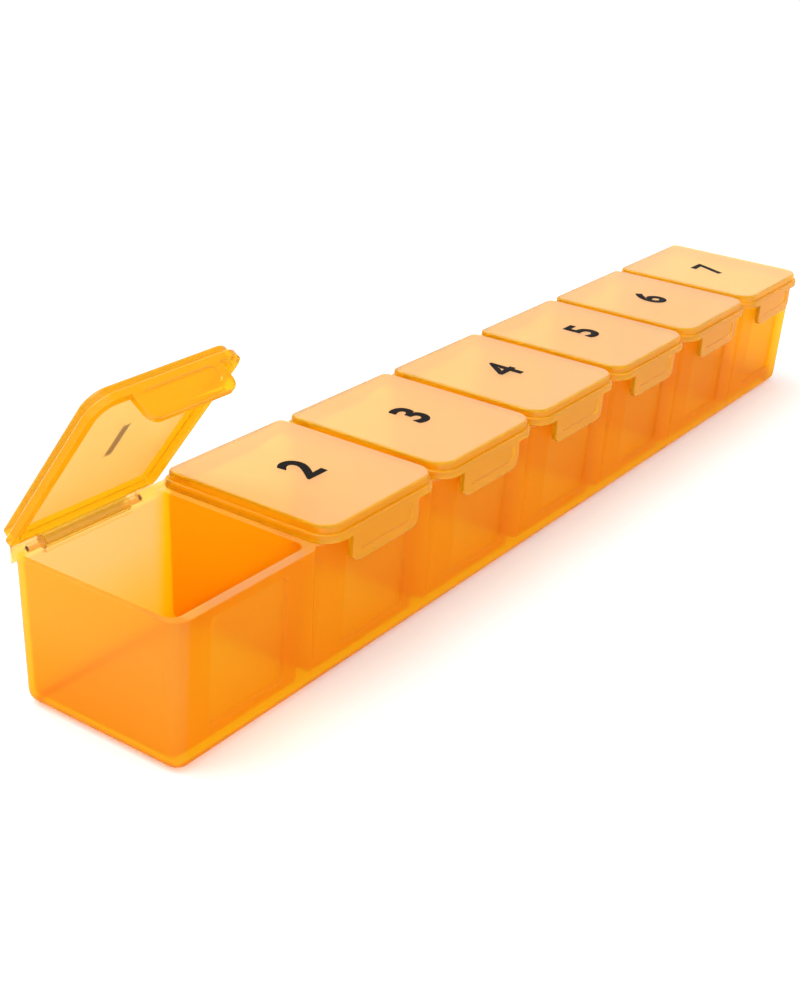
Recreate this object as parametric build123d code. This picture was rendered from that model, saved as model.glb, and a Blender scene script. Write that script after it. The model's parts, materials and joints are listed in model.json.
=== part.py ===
from build123d import *
import math
import os

# Weekly pill organizer: one long tray with seven compartments and seven hinged lids.
# Millimetres. The origin is the centre of the underside, +X runs along the row from the first
# compartment to the last, +Y points to the hinge side and +Z up.

# Row
COUNT = 7
PITCH = 34.0
OPEN_LID = 1
OPEN_ANGLE = 55.0

# Tray
RIM_HEIGHT = 27.2
TRAY_DEPTH = 36.0
END_SETBACK = 0.2
WALL = 1.3
FRONT_WALL = 2.2
DIVIDER = 1.6
FLOOR = 1.5
DRAFT = 1.65
TRAY_CORNER = 2.8
BASE_EDGE = 2.5
WELL_CORNER = 1.2
WELL_EDGE = 1.0
RIM_EDGE = 0.3

# Flutes between compartments on the front wall
FLUTE_RADIUS = 3.5
FLUTE_DEPTH = 0.9
FLUTE_FOOT = 3.2

# Latch recess in the front wall of each compartment
RECESS_WIDTH = 18.4
RECESS_DROP = 1.8
RECESS_HEIGHT = 20.0
RECESS_DEPTH = 0.6
RECESS_CORNER = 1.8
RECESS_BEVEL = 35.0

# Lid
LID_GAP = 0.9
LID_SEAT = 0.1
LID_HEIGHT = 3.1
LID_PLATE = 1.1
LID_SKIRT = 1.1
LID_TAPER = 3.0
LID_FRONT_CORNER = 4.0
LID_BACK_CORNER = 1.8
LID_EDGE = 0.6
LID_OVERHANG = 1.0
LID_SETBACK = 0.9
BRIM = 0.55
BRIM_HEIGHT = 1.5
BRIM_EDGE = 0.4

# Latch tab
TAB_WIDTH = 19.4
TAB_DROP = 5.4
TAB_THICKNESS = 1.1
TAB_CORNER = 2.2
TAB_EDGE = 0.3
TAB_BORDER = 2.0
TAB_DISH = 0.25
BEAD_WIDTH = 14.4
BEAD_RADIUS = 0.5
BEAD_LIFT = 1.2
BEAD_CLEARANCE = 0.1

# Hinge
HINGE_BELOW_RIM = 0.7
LAID_BACK_GAP = 0.05
PIN_RADIUS = 0.65
PIN_EDGE = 0.2
PIN_GRIP = 3.0
PIN_PRESS = 0.01
PIN_RUNNING = 0.05
KNUCKLE_RADIUS = 1.2
KNUCKLE_LENGTH = 19.1
KNUCKLE_SIDE = 0.25
KNUCKLE_ROOM = 0.3
RAIL_RADIUS = 1.2
RAIL_RELIEF = 0.3
RAIL_CORNER = 3.0
SOCKET_MOUTH = 1.05

# Sizes that follow
ROW_LENGTH = COUNT * PITCH
TRAY_LENGTH = ROW_LENGTH - 2 * END_SETBACK
HALF_DEPTH = TRAY_DEPTH / 2
LEAN = math.tan(math.radians(DRAFT))
LID_BASE = RIM_HEIGHT + LID_SEAT
LID_TOP = LID_BASE + LID_HEIGHT
LID_FRONT = HALF_DEPTH + LID_OVERHANG
LID_BACK = HALF_DEPTH - LID_SETBACK
LID_WIDTH = PITCH - LID_GAP - 2 * BRIM
LID_DEPTH = LID_FRONT + LID_BACK
LID_MIDDLE = (LID_BACK - LID_FRONT) / 2
BRIM_BACK = LID_BACK + BRIM
BRIM_FRONT = -LID_FRONT - BRIM
HINGE_Y = (HALF_DEPTH + BRIM_BACK + LAID_BACK_GAP) / 2
HINGE_Z = RIM_HEIGHT - HINGE_BELOW_RIM
RAIL_BACK = HINGE_Y + RAIL_RADIUS
NOTCH_LENGTH = KNUCKLE_LENGTH + 2 * KNUCKLE_SIDE
PIN_LENGTH = NOTCH_LENGTH + 2 * PIN_GRIP
SPARE = 1.0


def compartment_x(index):
    return (index - (COUNT + 1) / 2) * PITCH


def front_face_y(height):
    return -HALF_DEPTH + (RIM_HEIGHT - height) * LEAN


def rod(radius, length, y, z):
    return Pos(0, y, z) * Rot(0, 90, 0) * Cylinder(radius, length)


def drafted_block(length, depth, corner, height):
    """Rounded block, its sizes given at the top, narrowing downwards by the draft."""
    inset = 2 * height * LEAN
    foot = RectangleRounded(length - inset, depth - inset, corner)
    return extrude(foot, height, taper=-DRAFT)


def bottom_edges(solid):
    return solid.faces().sort_by(Axis.Z)[0].edges()


def top_edges(solid):
    return solid.faces().sort_by(Axis.Z)[-1].edges()


def well(left, right):
    """Space of one compartment between two wall faces at the rim."""
    height = RIM_HEIGHT - FLOOR
    space = drafted_block(right - left, TRAY_DEPTH - FRONT_WALL - WALL, WELL_CORNER, height)
    space = fillet(bottom_edges(space), WELL_EDGE)
    return Pos((left + right) / 2, (FRONT_WALL - WALL) / 2, FLOOR) * space


def flute():
    """Groove with two round shoulders that marks a divider on the front wall."""
    half = math.sqrt(FLUTE_RADIUS**2 - (FLUTE_RADIUS - FLUTE_DEPTH) ** 2)
    mouth = Pos(0, (FLUTE_DEPTH - SPARE) / 2) * Rectangle(2 * half, FLUTE_DEPTH + SPARE)
    shoulders = [Pos(side * half, FLUTE_RADIUS) * Circle(FLUTE_RADIUS) for side in (-1, 1)]
    return Pos(0, -HALF_DEPTH, FLUTE_FOOT) * extrude(mouth - shoulders, RIM_HEIGHT)


def latch_recess():
    """Bevelled recess under the latch tab, square to the leaning front wall."""
    middle = RIM_HEIGHT - RECESS_DROP - RECESS_HEIGHT / 2
    lean = math.radians(DRAFT)
    outward = Vector(0, -math.cos(lean), -math.sin(lean))
    face = Plane(Vector(0, front_face_y(middle), middle), x_dir=(1, 0, 0), z_dir=outward)
    outline = face * RectangleRounded(RECESS_WIDTH, RECESS_HEIGHT, RECESS_CORNER)
    return extrude(outline, RECESS_DEPTH, dir=-outward, taper=RECESS_BEVEL)


def add_hinge_rail(tray):
    """Round rail on the back wall, notched for the knuckles, with snap sockets for the pins."""
    plan = RectangleRounded(TRAY_LENGTH, 2 * RAIL_BACK, RAIL_CORNER)
    tray += rod(RAIL_RADIUS, TRAY_LENGTH, HINGE_Y, HINGE_Z) & extrude(plan, LID_TOP)
    reach = KNUCKLE_RADIUS + KNUCKLE_ROOM
    to_back = (Align.CENTER, Align.MIN, Align.MIN)
    notch = Box(NOTCH_LENGTH, TRAY_DEPTH, RIM_HEIGHT, align=to_back)
    notch = Pos(0, HINGE_Y - reach, HINGE_Z - reach) * notch
    bore = rod(PIN_RADIUS - PIN_PRESS, PIN_LENGTH, HINGE_Y, HINGE_Z)
    mouth = Box(PIN_LENGTH, TRAY_DEPTH, SOCKET_MOUTH, align=to_back)
    mouth = Pos(0, HINGE_Y, HINGE_Z - SOCKET_MOUTH / 2) * mouth
    for index in range(1, COUNT + 1):
        tray -= Pos(compartment_x(index), 0, 0) * (notch + bore + mouth)
    return tray


def make_tray():
    body = drafted_block(TRAY_LENGTH, TRAY_DEPTH, TRAY_CORNER, RIM_HEIGHT)
    body = fillet(bottom_edges(body), BASE_EDGE)
    body = fillet(top_edges(body), RIM_EDGE)
    for index in range(1, COUNT):
        body -= Pos(index * PITCH - ROW_LENGTH / 2, 0, 0) * flute()
    for index in range(1, COUNT + 1):
        left = compartment_x(index) - PITCH / 2 + DIVIDER / 2
        right = left + PITCH - DIVIDER
        if index == 1:
            left = WALL - TRAY_LENGTH / 2
        if index == COUNT:
            right = TRAY_LENGTH / 2 - WALL
        body -= well(left, right)
        body -= Pos(compartment_x(index), 0, 0) * latch_recess()
    mouths = body.faces().sort_by(Axis.Z)[-1].inner_wires()
    body = fillet([edge for mouth in mouths for edge in mouth.edges()], RIM_EDGE)
    return add_hinge_rail(body)


def latch_tab():
    """Tab that hangs from the brim, dished on its outer face, with a bead on its inner face."""
    foot = LID_BASE - TAB_DROP
    height = TAB_DROP + BRIM_HEIGHT / 2
    blade = Box(TAB_WIDTH, TAB_THICKNESS, height, align=(Align.CENTER, Align.MIN, Align.MIN))
    lower = blade.edges().filter_by(Axis.Y).sort_by(Axis.Z)[:2]
    blade = fillet(lower, TAB_CORNER)
    front = blade.faces().sort_by(Axis.Y)[0].edges().sort_by(Axis.Z)[:-1]
    blade = Pos(0, BRIM_FRONT, foot) * fillet(front, TAB_EDGE)
    dish_height = TAB_DROP - TAB_BORDER
    middle = Vector(0, BRIM_FRONT, LID_BASE - dish_height / 2)
    face = Plane(middle, x_dir=(1, 0, 0), z_dir=(0, -1, 0))
    panel = face * RectangleRounded(TAB_WIDTH - 2 * TAB_BORDER, dish_height, TAB_CORNER / 2)
    blade -= extrude(panel, TAB_DISH, dir=(0, 1, 0), taper=RECESS_BEVEL)
    tip = front_face_y(RIM_HEIGHT) - BEAD_CLEARANCE
    bead = rod(BEAD_RADIUS, BEAD_WIDTH, tip - BEAD_RADIUS, foot + BEAD_LIFT)
    return blade + bead


def knuckle():
    """Barrel round the pin with the web that joins it to the back of the brim."""
    barrel = rod(KNUCKLE_RADIUS, KNUCKLE_LENGTH, HINGE_Y, HINGE_Z)
    web = Plane.YZ * Polygon(
        (LID_BACK, LID_BASE),
        (HINGE_Y - KNUCKLE_RADIUS, HINGE_Z),
        (HINGE_Y, HINGE_Z),
        (HINGE_Y, HINGE_Z + KNUCKLE_RADIUS),
        (LID_BACK, LID_BASE + BRIM_HEIGHT - BRIM_EDGE),
        align=None,
    )
    return barrel + extrude(web, KNUCKLE_LENGTH / 2, both=True)


def lid_outline(grow):
    """Plan of the lid, its front corners rounder than its back ones, grown or shrunk on all sides."""
    plan = Rectangle(LID_WIDTH + 2 * grow, LID_DEPTH + 2 * grow)
    plan = fillet(plan.vertices().sort_by(Axis.Y)[:2], LID_FRONT_CORNER + grow)
    return fillet(plan.vertices().sort_by(Axis.Y)[-2:], LID_BACK_CORNER + grow)


def make_lid():
    """Lid of one compartment, shut, centred on its compartment along X."""
    cap = extrude(lid_outline(0), LID_HEIGHT, taper=LID_TAPER)
    cap = fillet(top_edges(cap), LID_EDGE)
    brim = fillet(top_edges(extrude(lid_outline(BRIM), BRIM_HEIGHT)), BRIM_EDGE)
    hollow = extrude(lid_outline(-LID_SKIRT), LID_HEIGHT - LID_PLATE, taper=LID_TAPER)
    lid = Pos(0, LID_MIDDLE, LID_BASE) * (cap + brim - hollow) + latch_tab() + knuckle()
    start = (KNUCKLE_LENGTH + KNUCKLE_SIDE) / 2
    relief = rod(RAIL_RADIUS + RAIL_RELIEF, PITCH / 2 - start, HINGE_Y, HINGE_Z)
    lid -= [Pos(side * (PITCH / 2 + start) / 2, 0, 0) * relief for side in (-1, 1)]
    return lid - rod(PIN_RADIUS + PIN_RUNNING, PITCH, HINGE_Y, HINGE_Z)


def make_pin():
    pin = rod(PIN_RADIUS, PIN_LENGTH, HINGE_Y, HINGE_Z)
    return chamfer(pin.edges().filter_by(GeomType.CIRCLE), PIN_EDGE)


os.makedirs("parts", exist_ok=True)
export_step(make_tray(), "parts/tray.step")
lid = make_lid()
pin = make_pin()
hinge = Axis((0, HINGE_Y, HINGE_Z), (1, 0, 0))
for index in range(1, COUNT + 1):
    place = Pos(compartment_x(index), 0, 0)
    turned = lid.rotate(hinge, -OPEN_ANGLE) if index == OPEN_LID else lid
    export_step(place * turned, f"parts/lid_{index}.step")
    export_step(place * pin, f"parts/hinge_pin_{index}.step")
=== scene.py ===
# %% [markdown]
# # A weekly pill organizer in translucent orange plastic
# The imported solids are the real mouldings: one long tray, seven lids and seven hinge pins.
# They are loaded first and stay exactly where they are. Everything after this step only dresses
# them, prints on them, and lights them.

# %% Load the solids
import json
import math

import bpy
from mathutils import Matrix, Vector


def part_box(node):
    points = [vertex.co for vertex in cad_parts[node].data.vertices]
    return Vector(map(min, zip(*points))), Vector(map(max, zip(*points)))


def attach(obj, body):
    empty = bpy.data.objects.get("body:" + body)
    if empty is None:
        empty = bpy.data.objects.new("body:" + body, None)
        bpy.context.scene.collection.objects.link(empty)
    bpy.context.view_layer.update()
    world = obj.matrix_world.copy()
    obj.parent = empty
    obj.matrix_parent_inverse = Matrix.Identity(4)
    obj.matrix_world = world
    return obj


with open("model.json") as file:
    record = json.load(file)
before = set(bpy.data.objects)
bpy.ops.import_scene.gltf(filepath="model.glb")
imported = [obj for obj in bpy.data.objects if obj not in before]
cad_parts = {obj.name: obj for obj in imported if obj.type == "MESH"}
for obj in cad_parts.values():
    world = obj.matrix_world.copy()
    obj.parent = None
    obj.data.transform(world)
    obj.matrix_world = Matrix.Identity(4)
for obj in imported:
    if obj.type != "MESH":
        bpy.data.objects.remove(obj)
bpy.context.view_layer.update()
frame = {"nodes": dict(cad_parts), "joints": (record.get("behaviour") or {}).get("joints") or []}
nodes = frame["nodes"]
LIDS = sorted(name for name in nodes if name.startswith("lid_"))
PINS = sorted(name for name in nodes if name.startswith("hinge_pin_"))
HINGES = {joint["child"]: joint for joint in frame["joints"]}
MM = 0.001
print("solids:", len(nodes), "lids:", len(LIDS), "pins:", len(PINS), "hinges:", len(HINGES))

# %% [markdown]
# ## Small helpers for node trees
# Shader trees and Geometry Nodes trees are both wired by links from an output to an input. Four
# helpers keep that short: one adds a node and sets its properties, one makes a row of links, and
# two add the Map Range and Math nodes that turn a position or a pattern into a mask.

# %% Helpers for nodes and links
def add_node(tree, kind, **settings):
    """Add a node and set its plain properties."""
    node = tree.nodes.new(kind)
    for name, value in settings.items():
        setattr(node, name, value)
    return node


def link_all(tree, pairs):
    """Link each output to its input."""
    for source, target in pairs:
        tree.links.new(source, target)


def add_range(tree, source, start, stop, low=0.0, high=1.0):
    """Carry a value from start..stop over to low..high, held at both ends."""
    node = add_node(tree, "ShaderNodeMapRange")
    settings = (("From Min", start), ("From Max", stop), ("To Min", low), ("To Max", high))
    for name, value in settings:
        node.inputs[name].default_value = value
    tree.links.new(source, node.inputs["Value"])
    return node.outputs["Result"]


def add_math(tree, operation, first, second=None):
    """A Math node on a socket, and on a second socket or a constant."""
    node = add_node(tree, "ShaderNodeMath", operation=operation)
    tree.links.new(first, node.inputs[0])
    if isinstance(second, float):
        node.inputs[1].default_value = second
    elif second is not None:
        tree.links.new(second, node.inputs[1])
    return node.outputs[0]


print("helpers ready in Blender", bpy.app.version_string)

# %% [markdown]
# ## The skin of a moulded part
# A moulded part is never one even colour. The melt leaves soft cloudy bands where it flowed, the
# steel mould leaves a fine grain, and use leaves faint rubbed patches. All the plastics
# here share these three effects, so they are built once as a shader group with named inputs.
# Noise textures on Object coordinates give patterns in real metres that need no unwrapping. Flow
# bands are stretched along the row, which is the way the melt ran.

# %% Build the shared skin group
FLOW_STRETCH = (0.45, 1.0, 1.0)
NOISE_SPAN = (0.3, 0.7)


def new_skin_group():
    """Flow, Grain and Rub masks, each with its own scale."""
    group = bpy.data.node_groups.new("moulded_skin", "ShaderNodeTree")
    inside, outside = add_node(group, "NodeGroupInput"), add_node(group, "NodeGroupOutput")
    place = add_node(group, "ShaderNodeTexCoord")
    stretch = add_node(group, "ShaderNodeMapping")
    stretch.inputs["Scale"].default_value = FLOW_STRETCH
    group.links.new(place.outputs["Object"], stretch.inputs["Vector"])
    effects = (("Flow", 30.0, 3.0, stretch), ("Grain", 400.0, 2.0, None), ("Rub", 160.0, 6.0, None))
    for name, scale, detail, mapping in effects:
        kind = "NodeSocketFloat"
        socket = group.interface.new_socket(name + " Scale", in_out="INPUT", socket_type=kind)
        socket.default_value = scale
        group.interface.new_socket(name, in_out="OUTPUT", socket_type=kind)
        noise = add_node(group, "ShaderNodeTexNoise")
        noise.inputs["Detail"].default_value = detail
        vector = mapping.outputs["Vector"] if mapping else place.outputs["Object"]
        group.links.new(vector, noise.inputs["Vector"])
        group.links.new(inside.outputs[name + " Scale"], noise.inputs["Scale"])
        group.links.new(add_range(group, noise.outputs["Fac"], *NOISE_SPAN), outside.inputs[name])
    return group


SKIN = new_skin_group()
print("skin group outputs:", [s.name for s in SKIN.interface.items_tree if s.in_out == "OUTPUT"])

# %% [markdown]
# ## Plates and rounded edges
# The mould of a lid is polished where the skirt slides out and left matt on the broad plate, and
# every rounded edge catches a bright line of light. Both places can be told from the surface
# itself: a plate looks along the up axis of its piece and lies above a certain height, and a
# rounded edge looks along no axis at all. The first lid stands open, so the inputs turn its
# axes back about its hinge: the angle, the pivot, and the height above which plates begin.

# %% Build the form group
PLATE_SPAN = (0.8, 0.98)
EDGE_SPAN = (0.9, 0.99)


def new_form_group():
    """Plate and Edge masks from the way the surface looks."""
    group = bpy.data.node_groups.new("moulded_form", "ShaderNodeTree")
    for name, kind in (("Turn", "Float"), ("Pivot", "Vector"), ("Height", "Float")):
        group.interface.new_socket(name, in_out="INPUT", socket_type="NodeSocket" + kind)
    for name in ("Plate", "Edge"):
        group.interface.new_socket(name, in_out="OUTPUT", socket_type="NodeSocketFloat")
    inside, outside = add_node(group, "NodeGroupInput"), add_node(group, "NodeGroupOutput")
    place = add_node(group, "ShaderNodeTexCoord")
    facing = add_node(group, "ShaderNodeVectorRotate", rotation_type="X_AXIS")
    spot = add_node(group, "ShaderNodeVectorRotate", rotation_type="X_AXIS")
    both = add_node(group, "ShaderNodeVectorMath", operation="ABSOLUTE")
    way, height = add_node(group, "ShaderNodeSeparateXYZ"), add_node(group, "ShaderNodeSeparateXYZ")
    link_all(group, (
        (place.outputs["Normal"], facing.inputs["Vector"]),
        (inside.outputs["Turn"], facing.inputs["Angle"]),
        (facing.outputs["Vector"], both.inputs[0]),
        (both.outputs["Vector"], way.inputs["Vector"]),
        (place.outputs["Object"], spot.inputs["Vector"]),
        (inside.outputs["Pivot"], spot.inputs["Center"]),
        (inside.outputs["Turn"], spot.inputs["Angle"]),
        (spot.outputs["Vector"], height.inputs["Vector"]),
    ))
    high = add_math(group, "GREATER_THAN", height.outputs["Z"], inside.outputs["Height"])
    flat = add_range(group, way.outputs["Z"], *PLATE_SPAN)
    level = add_math(group, "MAXIMUM", way.outputs["X"], way.outputs["Y"])
    largest = add_math(group, "MAXIMUM", level, way.outputs["Z"])
    group.links.new(add_math(group, "MULTIPLY", flat, high), outside.inputs["Plate"])
    group.links.new(add_range(group, largest, *EDGE_SPAN, 1.0, 0.0), outside.inputs["Edge"])
    return group


FORM = new_form_group()
print("form group outputs:", [s.name for s in FORM.interface.items_tree if s.in_out == "OUTPUT"])

# %% [markdown]
# ## Colours
# Tints are written as the eight-bit values that a screen shows, and Blender works with linear
# light, so they are converted. A blend mixes two tints, or two blends, by a mask.

# %% Helpers for colours and materials
def linear(value):
    """Linear light of one eight-bit screen value."""
    value /= 255
    return value / 12.92 if value <= 0.04045 else ((value + 0.055) / 1.055) ** 2.4


def srgb(red, green, blue):
    return (linear(red), linear(green), linear(blue), 1.0)


def blend(tree, factor, low, high):
    """Mix two colours, each a constant or a socket, by a mask from 0 to 1."""
    node = add_node(tree, "ShaderNodeMix", data_type="RGBA")
    tree.links.new(factor, node.inputs[0])
    for slot, colour in ((node.inputs[6], low), (node.inputs[7], high)):
        if isinstance(colour, tuple):
            slot.default_value = colour
        else:
            tree.links.new(colour, slot)
    return node.outputs[2]


def new_material(name):
    material = bpy.data.materials.new(name)
    material.use_nodes = True
    shader = material.node_tree.nodes["Principled BSDF"]
    return material, material.node_tree, shader


print("mid grey is", round(srgb(128, 128, 128)[0], 3), "in linear light")

# %% [markdown]
# ## Places on the tray
# The tray is one moulding of one plastic, but its places are tinted apart. The back wall is thin
# and is painted a paler peach, most of all on its inner face: painted backlight, for the light that
# comes through it from behind. The end walls stand alone with no neighbour behind them and are
# painted paler too: painted backlight through a lone wall. The latch panels on the front are
# thinner than the wall round them, and are paler for that. The colour is painted deeper lower down
# the walls and at the foot: painted shade near the ground, and at the foot partly the plastic of
# the tray floor that joins in there. Each place is a mask on Object coordinates, given as the
# position where it starts and the position where it is full. The panels
# repeat with the compartments, so a ping-pong of X by half the pitch folds all of them onto one.
# The rail and the knuckles are thin tubes round the hinge line, and their pale tint is painted
# light that lifts the shade inside them. The distance from that line stays
# the same when a lid turns, so one mask serves the tray and all lids, open or shut.

# %% Masks for the places
PITCH = HINGES["lid_2"]["pos_m"][0] - HINGES["lid_1"]["pos_m"][0]
PANEL_HALF = 9.2 * MM
PANEL_LOW, PANEL_HIGH = 5.4 * MM, 25.4 * MM
PANEL_SOFT = 0.3 * MM
FRONT_WALL = (-14.0 * MM, -15.0 * MM)
# Spans for painted backlight: the back wall, its inner face and the end walls.
BACK_WALL = (15.0 * MM, 16.5 * MM)
BACK_INNER_FACE = (17.1 * MM, 16.8 * MM)
END_WALLS = (115.6 * MM, 116.6 * MM)
# Spans for painted shade: lower down the walls with its strength, and at the foot.
LOWER_WALLS = (18.0 * MM, 2.0 * MM)
LOWER_SHADE_SHARE = 0.8
FOOT = (2.5 * MM, 0.5 * MM)
# Axis and radius of the pale hinge tint, painted light round the hinge line.
HINGE_AXIS = (0.0, *HINGES["lid_1"]["pos_m"][1:])
HINGE_TUBE = (1.7 * MM, 1.3 * MM)


def along(tree, axis):
    """One Object coordinate as a socket."""
    place = add_node(tree, "ShaderNodeTexCoord")
    parts = add_node(tree, "ShaderNodeSeparateXYZ")
    tree.links.new(place.outputs["Object"], parts.inputs["Vector"])
    return parts.outputs[axis]


# Mask for painted backlight: the back wall gets a paler tint for the light coming through it from
# behind.
def back_wall_painted_backlight(tree):
    return add_range(tree, along(tree, "Y"), *BACK_WALL)


# Mask for painted backlight on the inner face of the back wall, its palest part.
def back_inner_face_painted_backlight(tree):
    inner = add_range(tree, along(tree, "Y"), *BACK_INNER_FACE)
    return add_math(tree, "MULTIPLY", back_wall_painted_backlight(tree), inner)


# Mask for painted backlight: the end walls get a paler tint for the light through a lone wall.
def end_walls_painted_backlight(tree):
    return add_range(tree, add_math(tree, "ABSOLUTE", along(tree, "X")), *END_WALLS)


# Mask for painted shade: the walls are painted deeper in colour lower down, towards the ground.
def lower_walls_painted_shade(tree):
    return add_range(tree, along(tree, "Z"), *LOWER_WALLS, 0.0, LOWER_SHADE_SHARE)


# Mask for the foot: painted shade near the ground, together with the deeper colour of the plastic
# where the tray floor joins.
def foot_floor_and_painted_shade(tree):
    return add_range(tree, along(tree, "Z"), *FOOT)


def latch_panels(tree):
    aside = add_math(tree, "PINGPONG", along(tree, "X"), PITCH / 2)
    masks = (
        add_range(tree, aside, PANEL_HALF + PANEL_SOFT, PANEL_HALF - PANEL_SOFT),
        add_range(tree, along(tree, "Z"), PANEL_LOW - PANEL_SOFT, PANEL_LOW + PANEL_SOFT),
        add_range(tree, along(tree, "Z"), PANEL_HIGH + PANEL_SOFT, PANEL_HIGH - PANEL_SOFT),
        add_range(tree, along(tree, "Y"), *FRONT_WALL),
    )
    total = masks[0]
    for mask in masks[1:]:
        total = add_math(tree, "MULTIPLY", total, mask)
    return total


# Mask for painted light: a pale tint that lifts the shade inside the rail and the knuckles round
# the hinge line.
def hinge_line_painted_light(tree):
    beside = add_node(tree, "ShaderNodeCombineXYZ")
    link_all(tree, ((along(tree, axis), beside.inputs[axis]) for axis in "YZ"))
    gap = add_node(tree, "ShaderNodeVectorMath", operation="DISTANCE")
    gap.inputs[1].default_value = HINGE_AXIS
    tree.links.new(beside.outputs["Vector"], gap.inputs[0])
    return add_range(tree, gap.outputs["Value"], *HINGE_TUBE)


print("pitch in mm:", round(PITCH / MM, 2), "hinge line at", [round(v / MM, 2) for v in HINGE_AXIS])

# %% [markdown]
# ## Translucent orange plastic
# The walls let light through and tint it: one wall looks peach, two look orange and three or
# more a deep orange. A Principled shader with Transmission does just that, because its Base
# Color tints what passes. A Volume Absorption adds what depends on the length of the way: light
# that runs along a skirt or a rim leaves nearly all its blue there, so edges look deeper than
# faces. A low IOR keeps white reflections from washing out the orange. A thin coat lies only on
# rounded edges and on the rim, and gives them their bright line. The rubbed patches move the
# roughness a little, within a narrow range.

# %% Build a plastic
GRAIN_DEPTH = 0.01 * MM
GRAIN_STRENGTH = 0.15
COAT_ROUGHNESS = 0.2
RED_KEPT = 0.995


def coat_mask(tree, form, look):
    """Coat weight: one level on rounded edges, another on plates."""
    edges = add_range(tree, form.outputs["Edge"], 0.0, 1.0, 0.0, look["edge_coat"])
    if not look["plate_coat"]:
        return edges
    plates = add_range(tree, form.outputs["Plate"], 0.0, 1.0, 0.0, look["plate_coat"])
    return add_math(tree, "MAXIMUM", edges, plates)


def plastic(name, look, turn=0.0, pivot=(0.0, 0.0, 0.0), places=()):
    """Clear moulded plastic with flow bands, plates, coated edges and tinted places, several of
    which paint light and shade.
    """
    material, tree, shader = new_material(name)
    skin = add_node(tree, "ShaderNodeGroup", node_tree=SKIN)
    form = add_node(tree, "ShaderNodeGroup", node_tree=FORM)
    for label, value in (("Turn", turn), ("Pivot", pivot), ("Height", look["plates_above"])):
        form.inputs[label].default_value = value
    walls = blend(tree, skin.outputs["Flow"], *look["walls"])
    plates = blend(tree, skin.outputs["Flow"], *look["plates"])
    # On the lids the plate tint is their paler frosted plate; on the tray the same mask finds the
    # rim, where the tint is a painted highlight.
    colour = blend(tree, form.outputs["Plate"], walls, plates)
    # Place tints go on top; most are painted backlight, painted shade or painted light.
    for mask, tint in places:
        colour = blend(tree, mask(tree), colour, tint)
    bump = add_node(tree, "ShaderNodeBump")
    bump.inputs["Strength"].default_value = GRAIN_STRENGTH
    bump.inputs["Distance"].default_value = GRAIN_DEPTH
    depth = add_node(tree, "ShaderNodeVolumeAbsorption")
    green_kept = 1.0 - look["green"] / look["blue"]
    depth.inputs["Color"].default_value = (RED_KEPT, green_kept, 0.0, 1.0)
    depth.inputs["Density"].default_value = look["blue"] / MM
    shader.inputs["IOR"].default_value = look["index"]
    shader.inputs["Transmission Weight"].default_value = look["clear"]
    shader.inputs["Coat Roughness"].default_value = COAT_ROUGHNESS
    rough = add_range(tree, skin.outputs["Rub"], 0.0, 1.0, *look["rough"])
    link_all(tree, (
        (colour, shader.inputs["Base Color"]),
        (rough, shader.inputs["Roughness"]),
        (coat_mask(tree, form, look), shader.inputs["Coat Weight"]),
        (skin.outputs["Grain"], bump.inputs["Height"]),
        (bump.outputs["Normal"], shader.inputs["Normal"]),
        (depth.outputs["Volume"], tree.nodes["Material Output"].inputs["Volume"]),
    ))
    return material


print("grain depth in mm:", GRAIN_DEPTH / MM)

# %% [markdown]
# ### The tray
# The tray is clearer than the lids: four fifths of the light pass each face. A look holds the clear
# share, the range of roughness, the IOR, the coat, the tints, and the green and blue that a
# millimetre soaks up. On the tray the only plate above the given height is the rim, and its pale
# plate tint is a painted highlight along the rim, under a real coat.

# %% Dress the tray
TRAY_LOOK = {
    "clear": 0.82, "rough": (0.29, 0.4), "index": 1.06, "edge_coat": 0.1, "plate_coat": 0.6,
    "walls": (srgb(255, 213, 46), srgb(255, 208, 40)),
    # On the tray the plate tints fall only on the rim: a painted highlight.
    "plates": (srgb(255, 246, 170), srgb(255, 242, 160)),
    "plates_above": 26.5 * MM, "green": 0.04, "blue": 0.5,
}
TRAY_PLACES = (
    # Painted backlight: the back wall paler, and its inner face paler still.
    (back_wall_painted_backlight, srgb(255, 199, 112)),
    (back_inner_face_painted_backlight, srgb(255, 211, 232)),
    (latch_panels, srgb(255, 222, 68)),
    # Painted backlight through the lone end walls.
    (end_walls_painted_backlight, srgb(255, 215, 108)),
    # Painted shade: deeper orange lower down the walls, and at the foot, where the tray floor also
    # joins.
    (lower_walls_painted_shade, srgb(255, 198, 40)),
    (foot_floor_and_painted_shade, srgb(255, 178, 55)),
    # Painted light: a pale tint that lifts the shade in the rail and knuckles.
    (hinge_line_painted_light, srgb(255, 222, 176)),
)


def dress(names, material):
    for name in names:
        nodes[name].data.materials.clear()
        nodes[name].data.materials.append(material)
    print(material.name, "on", len(names))


dress(["tray"], plastic("tray_orange", TRAY_LOOK, places=TRAY_PLACES))

# %% [markdown]
# ### The lids
# A lid has a paler matt plate between deep orange skirts, and it is less clear than the tray. The
# open lid gets its own copy of the material, with its axes turned back about its hinge.

# %% Dress the lids
LID_LOOK = {
    "clear": 0.62, "rough": (0.12, 0.22), "index": 1.15, "edge_coat": 0.5, "plate_coat": 0.0,
    "walls": (srgb(255, 206, 34), srgb(255, 200, 28)),
    "plates": (srgb(255, 232, 172), srgb(255, 226, 160)),
    "plates_above": 28.9 * MM, "green": 0.05, "blue": 0.4,
}
OPEN_LID = "lid_1"
OPEN_TURN = -math.radians(HINGES[OPEN_LID]["range_deg"][0])
OPEN_PIVOT = HINGES[OPEN_LID]["pos_m"]
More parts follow.
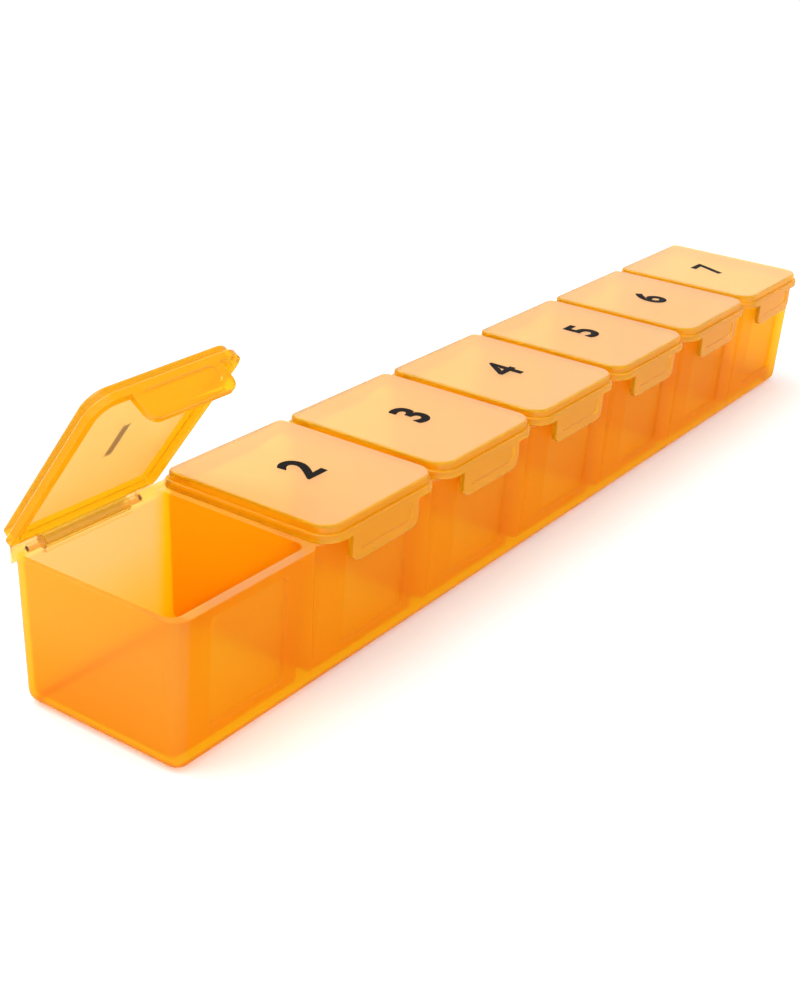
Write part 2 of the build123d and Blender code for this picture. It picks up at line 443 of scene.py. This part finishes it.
# Pale tint on the knuckles: painted light that lifts the shade inside them.
LID_PLACES = ((hinge_line_painted_light, srgb(255, 226, 120)),)
shut_lid = plastic("lid_orange", LID_LOOK, places=LID_PLACES)
open_lid = plastic("lid_orange_open", LID_LOOK, OPEN_TURN, OPEN_PIVOT, LID_PLACES)
dress([name for name in LIDS if name != OPEN_LID], shut_lid)
dress([OPEN_LID], open_lid)

# %% [markdown]
# ### The hinge pins
# The pins sit inside the rail and the knuckles. They are a clear, nearly uncoloured plastic, so
# that they take their colour from what is round them.

# %% Dress the pins
PIN_TINTS = (srgb(255, 244, 214), srgb(255, 240, 204))
PIN_LOOK = {
    "clear": 1.0, "rough": (0.29, 0.4), "index": 1.06, "edge_coat": 0.05, "plate_coat": 0.0,
    "walls": PIN_TINTS, "plates": PIN_TINTS,
    "plates_above": 0.0, "green": 0.02, "blue": 0.1,
}
dress(PINS, plastic("pin_orange", PIN_LOOK))

# %% [markdown]
# ## Numbers printed on the lids
# Each lid carries a bold black print. Plain numbers 1 to 7 are used, made by Geometry Nodes: a
# number becomes a string, the string becomes outlines, the outlines are pushed out a little to
# make them bold, filled, and given the thickness of a layer of ink. One tree serves all lids.

# %% Build the number print tree
WELD_DISTANCE = 0.001 * MM


def new_print_tree():
    """A Geometry Nodes tree that prints one number, and the identifiers of its inputs."""
    tree = bpy.data.node_groups.new("number_print", "GeometryNodeTree")
    tree.interface.new_socket("Geometry", in_out="OUTPUT", socket_type="NodeSocketGeometry")
    kinds = (
        ("Number", "NodeSocketInt"),
        ("Digit Size", "NodeSocketFloat"),
        ("Boldness", "NodeSocketFloat"),
        ("Ink Thickness", "NodeSocketFloat"),
        ("Ink", "NodeSocketMaterial"),
    )
    sockets = {n: tree.interface.new_socket(n, in_out="INPUT", socket_type=k) for n, k in kinds}
    asked, result = add_node(tree, "NodeGroupInput"), add_node(tree, "NodeGroupOutput")
    words = add_node(tree, "FunctionNodeValueToString", data_type="INT")
    outline = add_node(tree, "GeometryNodeStringToCurves", align_x="CENTER", align_y="MIDDLE")
    loose = add_node(tree, "GeometryNodeRealizeInstances")
    points = add_node(tree, "GeometryNodeResampleCurve", mode="EVALUATED")
    along_line = add_node(tree, "GeometryNodeInputTangent")
    across = add_node(tree, "ShaderNodeVectorMath", operation="CROSS_PRODUCT")
    across.inputs[1].default_value = (0.0, 0.0, 1.0)
    reach = add_node(tree, "ShaderNodeVectorMath", operation="SCALE")
    bolder = add_node(tree, "GeometryNodeSetPosition")
    filled = add_node(tree, "GeometryNodeFillCurve")
    raised = add_node(tree, "GeometryNodeExtrudeMesh")
    raised.inputs["Individual"].default_value = False
    turned = add_node(tree, "GeometryNodeFlipFaces")
    joined = add_node(tree, "GeometryNodeJoinGeometry")
    welded = add_node(tree, "GeometryNodeMergeByDistance")
    welded.inputs["Distance"].default_value = WELD_DISTANCE
    whole = add_node(tree, "GeometryNodeRealizeInstances")
    painted = add_node(tree, "GeometryNodeSetMaterial")
    link_all(tree, (
        (asked.outputs["Number"], words.inputs["Value"]),
        (words.outputs["String"], outline.inputs["String"]),
        (asked.outputs["Digit Size"], outline.inputs["Size"]),
        (outline.outputs["Curve Instances"], loose.inputs["Geometry"]),
        (loose.outputs["Geometry"], points.inputs["Curve"]),
        (along_line.outputs["Tangent"], across.inputs[0]),
        (across.outputs["Vector"], reach.inputs[0]),
        (asked.outputs["Boldness"], reach.inputs["Scale"]),
        (points.outputs["Curve"], bolder.inputs["Geometry"]),
        (reach.outputs["Vector"], bolder.inputs["Offset"]),
        (bolder.outputs["Geometry"], filled.inputs["Curve"]),
        (filled.outputs["Mesh"], raised.inputs["Mesh"]),
        (asked.outputs["Ink Thickness"], raised.inputs["Offset Scale"]),
        (filled.outputs["Mesh"], turned.inputs["Mesh"]),
        (turned.outputs["Mesh"], joined.inputs["Geometry"]),
        (raised.outputs["Mesh"], joined.inputs["Geometry"]),
        (joined.outputs["Geometry"], welded.inputs["Geometry"]),
        (welded.outputs["Geometry"], whole.inputs["Geometry"]),
        (whole.outputs["Geometry"], painted.inputs["Geometry"]),
        (asked.outputs["Ink"], painted.inputs["Material"]),
        (painted.outputs["Geometry"], result.inputs["Geometry"]),
    ))
    return tree, {name: socket.identifier for name, socket in sockets.items()}


PRINT_TREE, PRINT_INPUT = new_print_tree()
print("print tree inputs:", PRINT_INPUT)

# %% [markdown]
# ### Printing ink
# Printing ink on plastic is a thin satin black, a little uneven where the pad lifted off.

# %% Make the ink
INK_RUB_SCALE = 900.0
INK_SPECULAR = 0.03
INK_ROUGH = (0.4, 0.6)


def ink_material():
    material, tree, shader = new_material("print_ink")
    skin = add_node(tree, "ShaderNodeGroup", node_tree=SKIN)
    skin.inputs["Rub Scale"].default_value = INK_RUB_SCALE
    shade = blend(tree, skin.outputs["Rub"], srgb(12, 9, 8), srgb(26, 20, 18))
    tree.links.new(shade, shader.inputs["Base Color"])
    shader.inputs["Specular IOR Level"].default_value = INK_SPECULAR
    rough = add_range(tree, skin.outputs["Rub"], 0.0, 1.0, *INK_ROUGH)
    tree.links.new(rough, shader.inputs["Roughness"])
    return material


INK = ink_material()
print("ink:", INK.name)

# %% [markdown]
# ### Place one number on each lid
# The print lies in the middle of the top of its lid and reads along the row. The first lid
# stands open, so its print is turned about the hinge by the same angle as the lid.

# %% Print the lids
DIGIT_SIZE = 11.0 * MM
BOLDNESS = 0.36 * MM
INK_THICKNESS = 0.03 * MM
INK_SINK = 0.005 * MM
LID_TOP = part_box("lid_2")[1].z
LID_CENTRE_Y = -0.95 * MM


def print_number(number, lid):
    """Make the mesh of one number, put it in place and let it ride on its lid."""
    piece = bpy.data.objects.new("number_" + str(number), bpy.data.meshes.new("blank"))
    bpy.context.scene.collection.objects.link(piece)
    maker = piece.modifiers.new("print", "NODES")
    maker.node_group = PRINT_TREE
    values = {
        "Number": number, "Digit Size": DIGIT_SIZE, "Boldness": BOLDNESS,
        "Ink Thickness": INK_THICKNESS, "Ink": INK,
    }
    for name, value in values.items():
        maker[PRINT_INPUT[name]] = value
    made = piece.evaluated_get(bpy.context.evaluated_depsgraph_get())
    mesh = bpy.data.meshes.new_from_object(made)
    piece.modifiers.remove(maker)
    hinge = HINGES[lid]
    pivot = Vector(hinge["pos_m"])
    shut = Matrix.Translation((pivot.x, LID_CENTRE_Y, LID_TOP - INK_SINK))
    angle = math.radians(hinge["range_deg"][0])
    opened = Matrix.Rotation(angle, 4, Vector((1.0, 0.0, 0.0)))
    mesh.transform(Matrix.Translation(pivot) @ opened @ Matrix.Translation(-pivot) @ shut)
    piece.data = mesh
    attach(piece, lid)
    return piece


for number, lid in enumerate(LIDS, 1):
    label = print_number(number, lid)
    print(label.name, "on", lid, "faces", len(label.data.polygons))

# %% [markdown]
# ## Floor, light and camera
# A white floor under an even white sky, with one large soft lamp above. The sky is white
# for the camera, for reflections and for what shows through the plastic. As a light it stays at
# a plain level, so a colour renders about as it is written.

# %% White surroundings
def ray_mask(tree):
    """1 for rays that show the surroundings, 0 for rays that gather light."""
    path = add_node(tree, "ShaderNodeLightPath")
    total = path.outputs["Is Camera Ray"]
    for name in ("Is Glossy Ray", "Is Transmission Ray"):
        total = add_math(tree, "MAXIMUM", total, path.outputs[name])
    return total


SKY_LIGHT = 0.9
world = bpy.data.worlds.new("white_studio")
bpy.context.scene.world = world
world.use_nodes = True
sky = world.node_tree.nodes["Background"]
sky.inputs["Color"].default_value = (1.0, 1.0, 1.0, 1.0)
level = add_range(world.node_tree, ray_mask(world.node_tree), 0.0, 1.0, SKY_LIGHT, 1.0)
world.node_tree.links.new(level, sky.inputs["Strength"])
print("sky light", SKY_LIGHT)

# %% [markdown]
# The floor is a plain pale sheet, large enough to fill the picture. A little glow that only the
# camera, reflections and see-through walls can see carries it to white, while the light on the
# object and the shadow stay as they are.

# %% Floor
FLOOR_SIZE = 6.0
FLOOR_SHADE = 0.9
FLOOR_ROUGHNESS = 0.9
FLOOR_GLOW = 0.2
floor_mesh = bpy.data.meshes.new("floor")
half = FLOOR_SIZE / 2
floor_mesh.from_pydata(
    [(-half, -half, 0), (half, -half, 0), (half, half, 0), (-half, half, 0)], [], [(0, 1, 2, 3)]
)
floor = bpy.data.objects.new("floor", floor_mesh)
bpy.context.scene.collection.objects.link(floor)
floor_paint, floor_tree, floor_shader = new_material("floor_white")
floor_shader.inputs["Base Color"].default_value = (FLOOR_SHADE, FLOOR_SHADE, FLOOR_SHADE, 1.0)
floor_shader.inputs["Roughness"].default_value = FLOOR_ROUGHNESS
floor_shader.inputs["Specular IOR Level"].default_value = 0.0
floor_shader.inputs["Emission Color"].default_value = (1.0, 1.0, 1.0, 1.0)
glow = add_range(floor_tree, ray_mask(floor_tree), 0.0, 1.0, 0.0, FLOOR_GLOW)
floor_tree.links.new(glow, floor_shader.inputs["Emission Strength"])
floor_mesh.materials.append(floor_paint)
print("floor", FLOOR_SIZE, "m wide")

# %% [markdown]
# One large disk lamp above and behind gives the soft shadow in front of the row.

# %% Lamp
LAMP_SIZE = 0.9
LAMP_POWER = 6.0
LAMP_SPOT = (-0.25, 0.35, 0.9)
LAMP_AIM = (0.0, 0.0, 0.0)


def soft_lamp(name, size, power, spot, aim):
    light = bpy.data.lights.new(name, "AREA")
    light.shape = "DISK"
    light.size = size
    light.energy = power
    lamp = bpy.data.objects.new(name, light)
    bpy.context.scene.collection.objects.link(lamp)
    lamp.location = spot
    lamp.rotation_euler = (Vector(aim) - Vector(spot)).to_track_quat("-Z", "Y").to_euler()
    return lamp


overhead = soft_lamp("overhead", LAMP_SIZE, LAMP_POWER, LAMP_SPOT, LAMP_AIM)
print("lamp", overhead.name, "at", LAMP_SPOT, "with", LAMP_POWER, "W")

# %% [markdown]
# The camera stands at the low end of the row, above it and to its front, as in the photograph.
# Its place, its directions and its focal length come from fitting the edges of the lids.

# %% Camera
FRAME_HEIGHT = 1000
FOCAL_PIXELS = 1530.54
SPOT = Vector((-262.26, -150.4, 139.88)) * MM
RIGHT = Vector((0.57241, -0.81817, 0.05425))
DOWN = Vector((-0.31933, -0.28337, -0.90428))
FORWARD = Vector((0.75523, 0.50029, -0.42347))
lens = bpy.data.cameras.new("camera")
lens.sensor_width = 36.0
lens.lens = FOCAL_PIXELS / FRAME_HEIGHT * lens.sensor_width
lens.clip_start, lens.clip_end = 0.01, 20.0
camera = bpy.data.objects.new("camera", lens)
bpy.context.scene.collection.objects.link(camera)
turn = Matrix((RIGHT, -DOWN, -FORWARD)).transposed()
camera.matrix_world = Matrix.Translation(SPOT) @ turn.to_4x4()
bpy.context.scene.camera = camera
bpy.context.scene.view_settings.view_transform = "Standard"
print("lens mm", round(lens.lens, 1))
